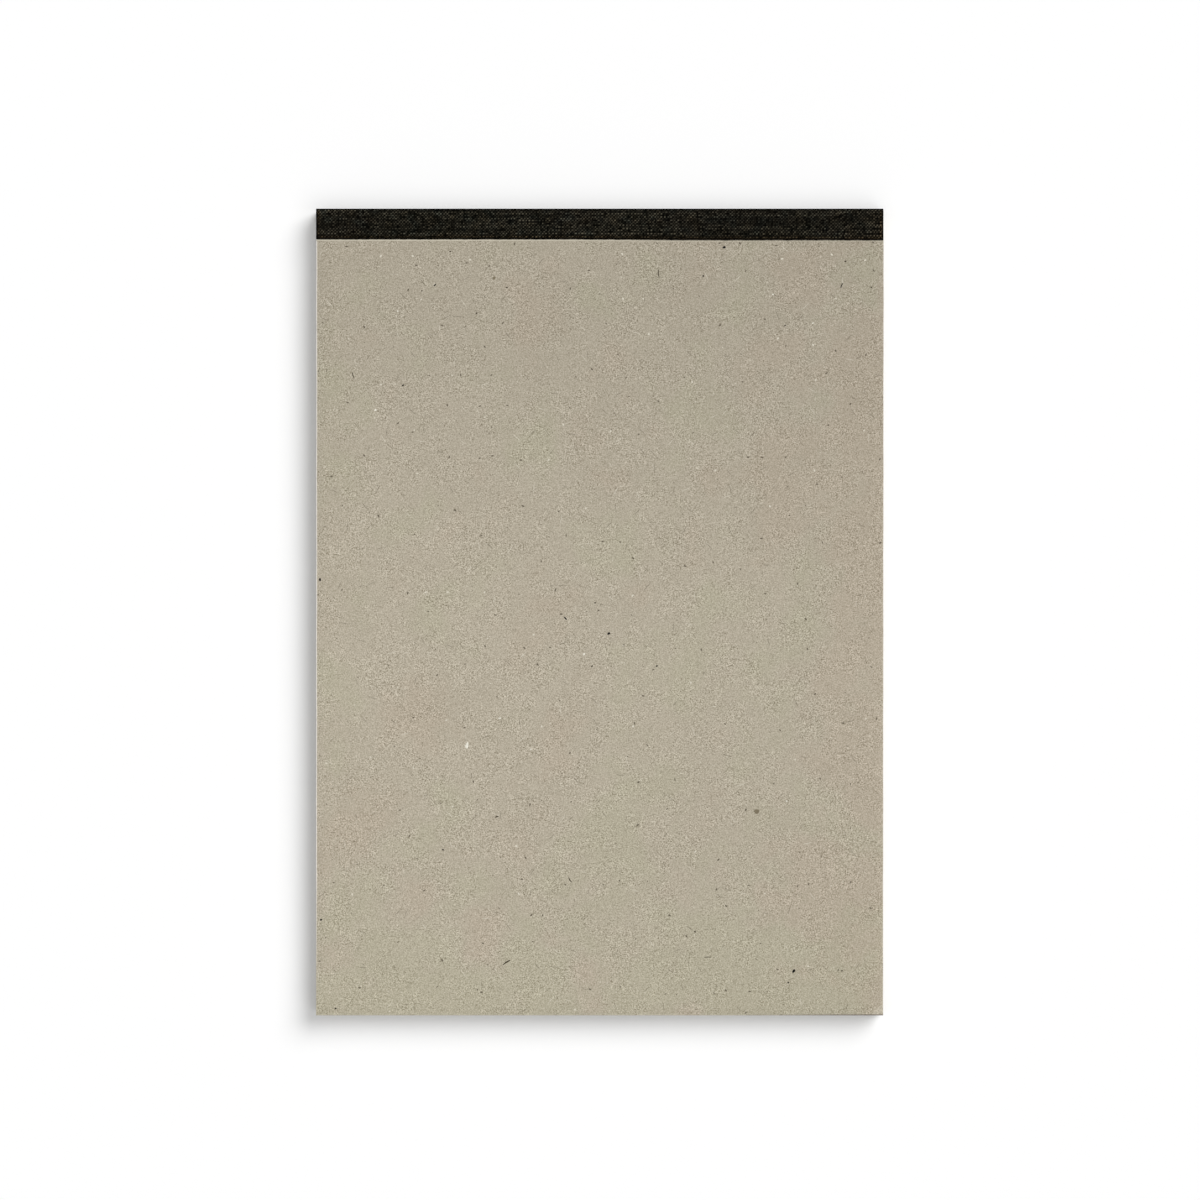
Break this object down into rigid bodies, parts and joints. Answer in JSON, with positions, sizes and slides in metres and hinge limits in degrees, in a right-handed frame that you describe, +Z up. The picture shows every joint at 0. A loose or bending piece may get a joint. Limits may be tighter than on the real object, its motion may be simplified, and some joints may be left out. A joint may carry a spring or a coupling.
{
  "type": "graph paper notepad",
  "caption": "Top-bound A5 pad of graph paper: grey board cover and back, black cloth tape over the glued head, cover and sheets that turn at the head.",
  "frame": {"origin": "under the middle of the pad, on the surface that it lies on", "axes": "+Y along the sheets towards the bound head, +X across the head, +Z up out of the front cover"},
  "size_m": [0.148, 0.2104, 0.0076],
  "materials": {
    "grey_board": "matte",
    "back_grey_board": "matte",
    "black_book_cloth": "matte",
    "dried_padding_glue": "satin",
    "graph_paper": "matte"
  },
  "bodies": {
    "pad_block": {"back_board": "back_grey_board", "padding_glue": "dried_padding_glue", "binding_tape_spine": "black_book_cloth"},
    "graph_sheet_01": {"graph_sheet_01": "graph_paper"},
    "graph_sheet_02": {"graph_sheet_02": "graph_paper"},
    "graph_sheet_03": {"graph_sheet_03": "graph_paper"},
    "graph_sheet_04": {"graph_sheet_04": "graph_paper"},
    "graph_sheet_05": {"graph_sheet_05": "graph_paper"},
    "graph_sheet_06": {"graph_sheet_06": "graph_paper"},
    "graph_sheet_07": {"graph_sheet_07": "graph_paper"},
    "graph_sheet_08": {"graph_sheet_08": "graph_paper"},
    "graph_sheet_09": {"graph_sheet_09": "graph_paper"},
    "graph_sheet_10": {"graph_sheet_10": "graph_paper"},
    "graph_sheet_11": {"graph_sheet_11": "graph_paper"},
    "graph_sheet_12": {"graph_sheet_12": "graph_paper"},
    "graph_sheet_13": {"graph_sheet_13": "graph_paper"},
    "graph_sheet_14": {"graph_sheet_14": "graph_paper"},
    "graph_sheet_15": {"graph_sheet_15": "graph_paper"},
    "graph_sheet_16": {"graph_sheet_16": "graph_paper"},
    "graph_sheet_17": {"graph_sheet_17": "graph_paper"},
    "graph_sheet_18": {"graph_sheet_18": "graph_paper"},
    "graph_sheet_19": {"graph_sheet_19": "graph_paper"},
    "graph_sheet_20": {"graph_sheet_20": "graph_paper"},
    "graph_sheet_21": {"graph_sheet_21": "graph_paper"},
    "graph_sheet_22": {"graph_sheet_22": "graph_paper"},
    "graph_sheet_23": {"graph_sheet_23": "graph_paper"},
    "graph_sheet_24": {"graph_sheet_24": "graph_paper"},
    "graph_sheet_25": {"graph_sheet_25": "graph_paper"},
    "graph_sheet_26": {"graph_sheet_26": "graph_paper"},
    "graph_sheet_27": {"graph_sheet_27": "graph_paper"},
    "graph_sheet_28": {"graph_sheet_28": "graph_paper"},
    "graph_sheet_29": {"graph_sheet_29": "graph_paper"},
    "graph_sheet_30": {"graph_sheet_30": "graph_paper"},
    "graph_sheet_31": {"graph_sheet_31": "graph_paper"},
    "graph_sheet_32": {"graph_sheet_32": "graph_paper"},
    "graph_sheet_33": {"graph_sheet_33": "graph_paper"},
    "graph_sheet_34": {"graph_sheet_34": "graph_paper"},
    "graph_sheet_35": {"graph_sheet_35": "graph_paper"},
    "graph_sheet_36": {"graph_sheet_36": "graph_paper"},
    "graph_sheet_37": {"graph_sheet_37": "graph_paper"},
    "graph_sheet_38": {"graph_sheet_38": "graph_paper"},
    "graph_sheet_39": {"graph_sheet_39": "graph_paper"},
    "graph_sheet_40": {"graph_sheet_40": "graph_paper"},
    "graph_sheet_41": {"graph_sheet_41": "graph_paper"},
    "graph_sheet_42": {"graph_sheet_42": "graph_paper"},
    "graph_sheet_43": {"graph_sheet_43": "graph_paper"},
    "graph_sheet_44": {"graph_sheet_44": "graph_paper"},
    "graph_sheet_45": {"graph_sheet_45": "graph_paper"},
    "graph_sheet_46": {"graph_sheet_46": "graph_paper"},
    "graph_sheet_47": {"graph_sheet_47": "graph_paper"},
    "graph_sheet_48": {"graph_sheet_48": "graph_paper"},
    "graph_sheet_49": {"graph_sheet_49": "graph_paper"},
    "graph_sheet_50": {"graph_sheet_50": "graph_paper"},
    "cover": {"front_cover": "grey_board", "binding_tape_front_flap": "black_book_cloth"}
  },
  "joints": [
    {"name": "sheet_01_hinge", "type": "hinge", "parent": "pad_block", "child": "graph_sheet_01", "pos_m": [0, 0.10523, 0.00763], "axis": [-1, 0, 0], "range_deg": [0, 85]},
    {"name": "sheet_02_hinge", "type": "hinge", "parent": "pad_block", "child": "graph_sheet_02", "pos_m": [0, 0.10523, 0.00763], "axis": [-1, 0, 0], "range_deg": [0, 83.3]},
    {"name": "sheet_03_hinge", "type": "hinge", "parent": "pad_block", "child": "graph_sheet_03", "pos_m": [0, 0.10523, 0.00763], "axis": [-1, 0, 0], "range_deg": [0, 81.6]},
    {"name": "sheet_04_hinge", "type": "hinge", "parent": "pad_block", "child": "graph_sheet_04", "pos_m": [0, 0.10523, 0.00763], "axis": [-1, 0, 0], "range_deg": [0, 79.9]},
    {"name": "sheet_05_hinge", "type": "hinge", "parent": "pad_block", "child": "graph_sheet_05", "pos_m": [0, 0.10523, 0.00763], "axis": [-1, 0, 0], "range_deg": [0, 78.2]},
    {"name": "sheet_06_hinge", "type": "hinge", "parent": "pad_block", "child": "graph_sheet_06", "pos_m": [0, 0.10523, 0.00763], "axis": [-1, 0, 0], "range_deg": [0, 76.5]},
    {"name": "sheet_07_hinge", "type": "hinge", "parent": "pad_block", "child": "graph_sheet_07", "pos_m": [0, 0.10523, 0.00763], "axis": [-1, 0, 0], "range_deg": [0, 74.8]},
    {"name": "sheet_08_hinge", "type": "hinge", "parent": "pad_block", "child": "graph_sheet_08", "pos_m": [0, 0.10523, 0.00763], "axis": [-1, 0, 0], "range_deg": [0, 73.1]},
    {"name": "sheet_09_hinge", "type": "hinge", "parent": "pad_block", "child": "graph_sheet_09", "pos_m": [0, 0.10523, 0.00763], "axis": [-1, 0, 0], "range_deg": [0, 71.4]},
    {"name": "sheet_10_hinge", "type": "hinge", "parent": "pad_block", "child": "graph_sheet_10", "pos_m": [0, 0.10523, 0.00763], "axis": [-1, 0, 0], "range_deg": [0, 69.7]},
    {"name": "sheet_11_hinge", "type": "hinge", "parent": "pad_block", "child": "graph_sheet_11", "pos_m": [0, 0.10523, 0.00763], "axis": [-1, 0, 0], "range_deg": [0, 68]},
    {"name": "sheet_12_hinge", "type": "hinge", "parent": "pad_block", "child": "graph_sheet_12", "pos_m": [0, 0.10523, 0.00763], "axis": [-1, 0, 0], "range_deg": [0, 66.3]},
    {"name": "sheet_13_hinge", "type": "hinge", "parent": "pad_block", "child": "graph_sheet_13", "pos_m": [0, 0.10523, 0.00763], "axis": [-1, 0, 0], "range_deg": [0, 64.6]},
    {"name": "sheet_14_hinge", "type": "hinge", "parent": "pad_block", "child": "graph_sheet_14", "pos_m": [0, 0.10523, 0.00763], "axis": [-1, 0, 0], "range_deg": [0, 62.9]},
    {"name": "sheet_15_hinge", "type": "hinge", "parent": "pad_block", "child": "graph_sheet_15", "pos_m": [0, 0.10523, 0.00763], "axis": [-1, 0, 0], "range_deg": [0, 61.2]},
    {"name": "sheet_16_hinge", "type": "hinge", "parent": "pad_block", "child": "graph_sheet_16", "pos_m": [0, 0.10523, 0.00763], "axis": [-1, 0, 0], "range_deg": [0, 59.5]},
    {"name": "sheet_17_hinge", "type": "hinge", "parent": "pad_block", "child": "graph_sheet_17", "pos_m": [0, 0.10523, 0.00763], "axis": [-1, 0, 0], "range_deg": [0, 57.8]},
    {"name": "sheet_18_hinge", "type": "hinge", "parent": "pad_block", "child": "graph_sheet_18", "pos_m": [0, 0.10523, 0.00763], "axis": [-1, 0, 0], "range_deg": [0, 56.1]},
    {"name": "sheet_19_hinge", "type": "hinge", "parent": "pad_block", "child": "graph_sheet_19", "pos_m": [0, 0.10523, 0.00763], "axis": [-1, 0, 0], "range_deg": [0, 54.4]},
    {"name": "sheet_20_hinge", "type": "hinge", "parent": "pad_block", "child": "graph_sheet_20", "pos_m": [0, 0.10523, 0.00763], "axis": [-1, 0, 0], "range_deg": [0, 52.7]},
    {"name": "sheet_21_hinge", "type": "hinge", "parent": "pad_block", "child": "graph_sheet_21", "pos_m": [0, 0.10523, 0.00763], "axis": [-1, 0, 0], "range_deg": [0, 51]},
    {"name": "sheet_22_hinge", "type": "hinge", "parent": "pad_block", "child": "graph_sheet_22", "pos_m": [0, 0.10523, 0.00763], "axis": [-1, 0, 0], "range_deg": [0, 49.3]},
    {"name": "sheet_23_hinge", "type": "hinge", "parent": "pad_block", "child": "graph_sheet_23", "pos_m": [0, 0.10523, 0.00763], "axis": [-1, 0, 0], "range_deg": [0, 47.6]},
    {"name": "sheet_24_hinge", "type": "hinge", "parent": "pad_block", "child": "graph_sheet_24", "pos_m": [0, 0.10523, 0.00763], "axis": [-1, 0, 0], "range_deg": [0, 45.9]},
    {"name": "sheet_25_hinge", "type": "hinge", "parent": "pad_block", "child": "graph_sheet_25", "pos_m": [0, 0.10523, 0.00763], "axis": [-1, 0, 0], "range_deg": [0, 44.2]},
    {"name": "sheet_26_hinge", "type": "hinge", "parent": "pad_block", "child": "graph_sheet_26", "pos_m": [0, 0.10523, 0.00763], "axis": [-1, 0, 0], "range_deg": [0, 42.5]},
    {"name": "sheet_27_hinge", "type": "hinge", "parent": "pad_block", "child": "graph_sheet_27", "pos_m": [0, 0.10523, 0.00763], "axis": [-1, 0, 0], "range_deg": [0, 40.8]},
    {"name": "sheet_28_hinge", "type": "hinge", "parent": "pad_block", "child": "graph_sheet_28", "pos_m": [0, 0.10523, 0.00763], "axis": [-1, 0, 0], "range_deg": [0, 39.1]},
    {"name": "sheet_29_hinge", "type": "hinge", "parent": "pad_block", "child": "graph_sheet_29", "pos_m": [0, 0.10523, 0.00763], "axis": [-1, 0, 0], "range_deg": [0, 37.4]},
    {"name": "sheet_30_hinge", "type": "hinge", "parent": "pad_block", "child": "graph_sheet_30", "pos_m": [0, 0.10523, 0.00763], "axis": [-1, 0, 0], "range_deg": [0, 35.7]},
    {"name": "sheet_31_hinge", "type": "hinge", "parent": "pad_block", "child": "graph_sheet_31", "pos_m": [0, 0.10523, 0.00763], "axis": [-1, 0, 0], "range_deg": [0, 34]},
    {"name": "sheet_32_hinge", "type": "hinge", "parent": "pad_block", "child": "graph_sheet_32", "pos_m": [0, 0.10523, 0.00763], "axis": [-1, 0, 0], "range_deg": [0, 32.3]},
    {"name": "sheet_33_hinge", "type": "hinge", "parent": "pad_block", "child": "graph_sheet_33", "pos_m": [0, 0.10523, 0.00763], "axis": [-1, 0, 0], "range_deg": [0, 30.6]},
    {"name": "sheet_34_hinge", "type": "hinge", "parent": "pad_block", "child": "graph_sheet_34", "pos_m": [0, 0.10523, 0.00763], "axis": [-1, 0, 0], "range_deg": [0, 28.9]},
    {"name": "sheet_35_hinge", "type": "hinge", "parent": "pad_block", "child": "graph_sheet_35", "pos_m": [0, 0.10523, 0.00763], "axis": [-1, 0, 0], "range_deg": [0, 27.2]},
    {"name": "sheet_36_hinge", "type": "hinge", "parent": "pad_block", "child": "graph_sheet_36", "pos_m": [0, 0.10523, 0.00763], "axis": [-1, 0, 0], "range_deg": [0, 25.5]},
    {"name": "sheet_37_hinge", "type": "hinge", "parent": "pad_block", "child": "graph_sheet_37", "pos_m": [0, 0.10523, 0.00763], "axis": [-1, 0, 0], "range_deg": [0, 23.8]},
    {"name": "sheet_38_hinge", "type": "hinge", "parent": "pad_block", "child": "graph_sheet_38", "pos_m": [0, 0.10523, 0.00763], "axis": [-1, 0, 0], "range_deg": [0, 22.1]},
    {"name": "sheet_39_hinge", "type": "hinge", "parent": "pad_block", "child": "graph_sheet_39", "pos_m": [0, 0.10523, 0.00763], "axis": [-1, 0, 0], "range_deg": [0, 20.4]},
    {"name": "sheet_40_hinge", "type": "hinge", "parent": "pad_block", "child": "graph_sheet_40", "pos_m": [0, 0.10523, 0.00763], "axis": [-1, 0, 0], "range_deg": [0, 18.7]},
    {"name": "sheet_41_hinge", "type": "hinge", "parent": "pad_block", "child": "graph_sheet_41", "pos_m": [0, 0.10523, 0.00763], "axis": [-1, 0, 0], "range_deg": [0, 17]},
    {"name": "sheet_42_hinge", "type": "hinge", "parent": "pad_block", "child": "graph_sheet_42", "pos_m": [0, 0.10523, 0.00763], "axis": [-1, 0, 0], "range_deg": [0, 15.3]},
    {"name": "sheet_43_hinge", "type": "hinge", "parent": "pad_block", "child": "graph_sheet_43", "pos_m": [0, 0.10523, 0.00763], "axis": [-1, 0, 0], "range_deg": [0, 13.6]},
    {"name": "sheet_44_hinge", "type": "hinge", "parent": "pad_block", "child": "graph_sheet_44", "pos_m": [0, 0.10523, 0.00763], "axis": [-1, 0, 0], "range_deg": [0, 11.9]},
    {"name": "sheet_45_hinge", "type": "hinge", "parent": "pad_block", "child": "graph_sheet_45", "pos_m": [0, 0.10523, 0.00763], "axis": [-1, 0, 0], "range_deg": [0, 10.2]},
    {"name": "sheet_46_hinge", "type": "hinge", "parent": "pad_block", "child": "graph_sheet_46", "pos_m": [0, 0.10523, 0.00763], "axis": [-1, 0, 0], "range_deg": [0, 8.5]},
    {"name": "sheet_47_hinge", "type": "hinge", "parent": "pad_block", "child": "graph_sheet_47", "pos_m": [0, 0.10523, 0.00763], "axis": [-1, 0, 0], "range_deg": [0, 6.8]},
    {"name": "sheet_48_hinge", "type": "hinge", "parent": "pad_block", "child": "graph_sheet_48", "pos_m": [0, 0.10523, 0.00763], "axis": [-1, 0, 0], "range_deg": [0, 5.1]},
    {"name": "sheet_49_hinge", "type": "hinge", "parent": "pad_block", "child": "graph_sheet_49", "pos_m": [0, 0.10523, 0.00763], "axis": [-1, 0, 0], "range_deg": [0, 3.4]},
    {"name": "sheet_50_hinge", "type": "hinge", "parent": "pad_block", "child": "graph_sheet_50", "pos_m": [0, 0.10523, 0.00763], "axis": [-1, 0, 0], "range_deg": [0, 1.7]},
    {"name": "cover_hinge", "type": "hinge", "parent": "graph_sheet_01", "child": "cover", "pos_m": [0, 0.10523, 0.00763], "axis": [-1, 0, 0], "range_deg": [0, 180]}
  ],
  "couplings": [
    {"joint": "sheet_02_hinge", "follows": "sheet_01_hinge", "ratio": 0.98},
    {"joint": "sheet_03_hinge", "follows": "sheet_01_hinge", "ratio": 0.96},
    {"joint": "sheet_04_hinge", "follows": "sheet_01_hinge", "ratio": 0.94},
    {"joint": "sheet_05_hinge", "follows": "sheet_01_hinge", "ratio": 0.92},
    {"joint": "sheet_06_hinge", "follows": "sheet_01_hinge", "ratio": 0.9},
    {"joint": "sheet_07_hinge", "follows": "sheet_01_hinge", "ratio": 0.88},
    {"joint": "sheet_08_hinge", "follows": "sheet_01_hinge", "ratio": 0.86},
    {"joint": "sheet_09_hinge", "follows": "sheet_01_hinge", "ratio": 0.84},
    {"joint": "sheet_10_hinge", "follows": "sheet_01_hinge", "ratio": 0.82},
    {"joint": "sheet_11_hinge", "follows": "sheet_01_hinge", "ratio": 0.8},
    {"joint": "sheet_12_hinge", "follows": "sheet_01_hinge", "ratio": 0.78},
    {"joint": "sheet_13_hinge", "follows": "sheet_01_hinge", "ratio": 0.76},
    {"joint": "sheet_14_hinge", "follows": "sheet_01_hinge", "ratio": 0.74},
    {"joint": "sheet_15_hinge", "follows": "sheet_01_hinge", "ratio": 0.72},
    {"joint": "sheet_16_hinge", "follows": "sheet_01_hinge", "ratio": 0.7},
    {"joint": "sheet_17_hinge", "follows": "sheet_01_hinge", "ratio": 0.68},
    {"joint": "sheet_18_hinge", "follows": "sheet_01_hinge", "ratio": 0.66},
    {"joint": "sheet_19_hinge", "follows": "sheet_01_hinge", "ratio": 0.64},
    {"joint": "sheet_20_hinge", "follows": "sheet_01_hinge", "ratio": 0.62},
    {"joint": "sheet_21_hinge", "follows": "sheet_01_hinge", "ratio": 0.6},
    {"joint": "sheet_22_hinge", "follows": "sheet_01_hinge", "ratio": 0.58},
    {"joint": "sheet_23_hinge", "follows": "sheet_01_hinge", "ratio": 0.56},
    {"joint": "sheet_24_hinge", "follows": "sheet_01_hinge", "ratio": 0.54},
    {"joint": "sheet_25_hinge", "follows": "sheet_01_hinge", "ratio": 0.52},
    {"joint": "sheet_26_hinge", "follows": "sheet_01_hinge", "ratio": 0.5},
    {"joint": "sheet_27_hinge", "follows": "sheet_01_hinge", "ratio": 0.48},
    {"joint": "sheet_28_hinge", "follows": "sheet_01_hinge", "ratio": 0.46},
    {"joint": "sheet_29_hinge", "follows": "sheet_01_hinge", "ratio": 0.44},
    {"joint": "sheet_30_hinge", "follows": "sheet_01_hinge", "ratio": 0.42},
    {"joint": "sheet_31_hinge", "follows": "sheet_01_hinge", "ratio": 0.4},
    {"joint": "sheet_32_hinge", "follows": "sheet_01_hinge", "ratio": 0.38},
    {"joint": "sheet_33_hinge", "follows": "sheet_01_hinge", "ratio": 0.36},
    {"joint": "sheet_34_hinge", "follows": "sheet_01_hinge", "ratio": 0.34},
    {"joint": "sheet_35_hinge", "follows": "sheet_01_hinge", "ratio": 0.32},
    {"joint": "sheet_36_hinge", "follows": "sheet_01_hinge", "ratio": 0.3},
    {"joint": "sheet_37_hinge", "follows": "sheet_01_hinge", "ratio": 0.28},
    {"joint": "sheet_38_hinge", "follows": "sheet_01_hinge", "ratio": 0.26},
    {"joint": "sheet_39_hinge", "follows": "sheet_01_hinge", "ratio": 0.24},
    {"joint": "sheet_40_hinge", "follows": "sheet_01_hinge", "ratio": 0.22},
    {"joint": "sheet_41_hinge", "follows": "sheet_01_hinge", "ratio": 0.2},
    {"joint": "sheet_42_hinge", "follows": "sheet_01_hinge", "ratio": 0.18},
    {"joint": "sheet_43_hinge", "follows": "sheet_01_hinge", "ratio": 0.16},
    {"joint": "sheet_44_hinge", "follows": "sheet_01_hinge", "ratio": 0.14},
    {"joint": "sheet_45_hinge", "follows": "sheet_01_hinge", "ratio": 0.12},
    {"joint": "sheet_46_hinge", "follows": "sheet_01_hinge", "ratio": 0.1},
    {"joint": "sheet_47_hinge", "follows": "sheet_01_hinge", "ratio": 0.08},
    {"joint": "sheet_48_hinge", "follows": "sheet_01_hinge", "ratio": 0.06},
    {"joint": "sheet_49_hinge", "follows": "sheet_01_hinge", "ratio": 0.04},
    {"joint": "sheet_50_hinge", "follows": "sheet_01_hinge", "ratio": 0.02}
  ]
}
